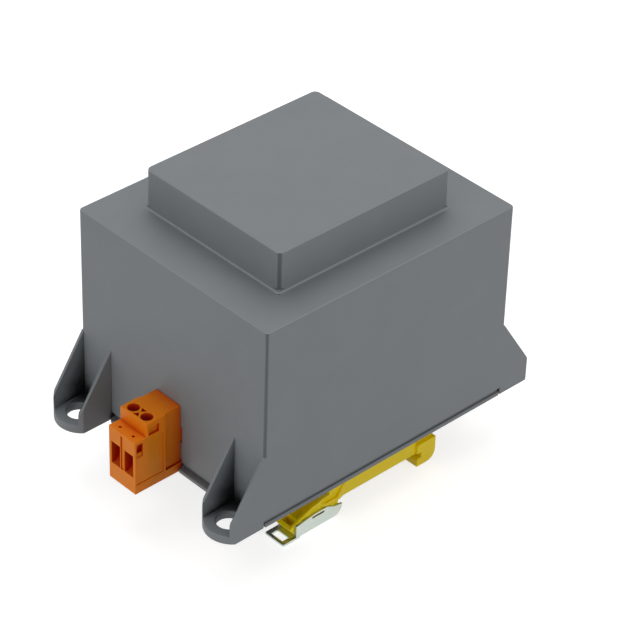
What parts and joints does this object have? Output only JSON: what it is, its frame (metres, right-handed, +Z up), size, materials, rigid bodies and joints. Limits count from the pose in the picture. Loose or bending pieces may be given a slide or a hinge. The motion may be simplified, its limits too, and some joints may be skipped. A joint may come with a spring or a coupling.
{
  "type": "encapsulated transformer",
  "caption": "Potted mains transformer in a stepped grey case with gusseted fixing lugs, rising-cage clamp terminals at both ends and sprung rail feet underneath.",
  "frame": {"origin": "centre of the four lug holes on the plane of the lug undersides and the underside of the base plate", "axes": "+Z up from the base plate to the raised centre of the case, +X along the case from the mains terminal to the load terminal, +Y across the case"},
  "size_m": [0.1434, 0.0882, 0.1086],
  "materials": {
    "case_plastic": "fine spark-eroded grain, moulded glass-filled plastic",
    "plate_plastic": "fine grain, moulded glass-filled plastic",
    "lamination_steel": "annealed silicon steel sheet, edges of the stack visible",
    "bobbin_plastic": "moulded natural polyamide",
    "enamelled_copper": "enamelled copper wire, wound in layers",
    "coil_tape": "polyester film tape",
    "potting_resin": "filled casting resin",
    "blue_lead": "soft insulated wire",
    "red_lead": "soft insulated wire",
    "terminal_plastic": "satin moulded polyamide",
    "zinc_plated_screw": "bright zinc plating",
    "cage_brass": "tumbled brass",
    "contact_metal": "tin-plated copper alloy",
    "foot_plastic": "satin moulded polyamide",
    "slider_steel": "bright zinc plating on pressed sheet",
    "spring_steel": "drawn spring wire"
  },
  "bodies": {
    "case": {"case_shell": "case_plastic", "base_plate": "plate_plastic", "core_e_stack": "lamination_steel", "core_i_stack": "lamination_steel", "coil_bobbin": "bobbin_plastic", "primary_winding": "enamelled_copper", "secondary_winding": "enamelled_copper", "primary_tape": "coil_tape", "secondary_tape": "coil_tape", "potting_compound": "potting_resin", "primary_leads": "blue_lead", "secondary_leads": "red_lead", "mains_terminal_housing": "terminal_plastic", "mains_contact_bar_1": "contact_metal", "mains_contact_bar_2": "contact_metal", "load_terminal_housing": "terminal_plastic", "load_contact_bar_1": "contact_metal", "load_contact_bar_2": "contact_metal", "front_rail_foot": "foot_plastic", "front_foot_screws": "zinc_plated_screw", "front_slider_spring": "spring_steel", "rear_rail_foot": "foot_plastic", "rear_foot_screws": "zinc_plated_screw", "rear_slider_spring": "spring_steel"},
    "front_slider": {"front_rail_slider": "slider_steel"},
    "rear_slider": {"rear_rail_slider": "slider_steel"},
    "mains_screw_1": {"mains_clamp_screw_1": "zinc_plated_screw"},
    "mains_screw_2": {"mains_clamp_screw_2": "zinc_plated_screw"},
    "mains_cage_1": {"mains_clamp_cage_1": "cage_brass"},
    "mains_cage_2": {"mains_clamp_cage_2": "cage_brass"},
    "load_screw_1": {"load_clamp_screw_1": "zinc_plated_screw"},
    "load_screw_2": {"load_clamp_screw_2": "zinc_plated_screw"},
    "load_cage_1": {"load_clamp_cage_1": "cage_brass"},
    "load_cage_2": {"load_clamp_cage_2": "cage_brass"}
  },
  "joints": [
    {"name": "front_slider_release", "type": "slide", "parent": "case", "child": "front_slider", "axis": [-1, 0, 0], "range_m": [0, 0.0035], "stiffness_N_per_m": 4000, "springref_m": -0.002, "deforming": ["front_slider_spring"]},
    {"name": "rear_slider_release", "type": "slide", "parent": "case", "child": "rear_slider", "axis": [-1, 0, 0], "range_m": [0, 0.0035], "stiffness_N_per_m": 4000, "springref_m": -0.002, "deforming": ["rear_slider_spring"]},
    {"name": "mains_screw_1_turn", "type": "hinge", "parent": "case", "child": "mains_screw_1", "pos_m": [-0.0641, -0.00228, 0.0205], "axis": [0, 0, -1], "range_deg": [0, 2520]},
    {"name": "mains_screw_2_turn", "type": "hinge", "parent": "case", "child": "mains_screw_2", "pos_m": [-0.0641, 0.00407, 0.0205], "axis": [0, 0, -1], "range_deg": [0, 2520]},
    {"name": "load_screw_1_turn", "type": "hinge", "parent": "case", "child": "load_screw_1", "pos_m": [0.0641, 0.00228, 0.0205], "axis": [0, 0, -1], "range_deg": [0, 2520]},
    {"name": "load_screw_2_turn", "type": "hinge", "parent": "case", "child": "load_screw_2", "pos_m": [0.0641, -0.00407, 0.0205], "axis": [0, 0, -1], "range_deg": [0, 2520]},
    {"name": "mains_cage_1_lift", "type": "slide", "parent": "case", "child": "mains_cage_1", "axis": [0, 0, 1], "range_m": [0, 0.0035]},
    {"name": "mains_cage_2_lift", "type": "slide", "parent": "case", "child": "mains_cage_2", "axis": [0, 0, 1], "range_m": [0, 0.0035]},
    {"name": "load_cage_1_lift", "type": "slide", "parent": "case", "child": "load_cage_1", "axis": [0, 0, 1], "range_m": [0, 0.0035]},
    {"name": "load_cage_2_lift", "type": "slide", "parent": "case", "child": "load_cage_2", "axis": [0, 0, 1], "range_m": [0, 0.0035]}
  ],
  "couplings": [
    {"joint": "mains_screw_1_turn", "follows": "mains_cage_1_lift", "rad_per_m": 12566},
    {"joint": "mains_screw_2_turn", "follows": "mains_cage_2_lift", "rad_per_m": 12566},
    {"joint": "load_screw_1_turn", "follows": "load_cage_1_lift", "rad_per_m": 12566},
    {"joint": "load_screw_2_turn", "follows": "load_cage_2_lift", "rad_per_m": 12566}
  ]
}
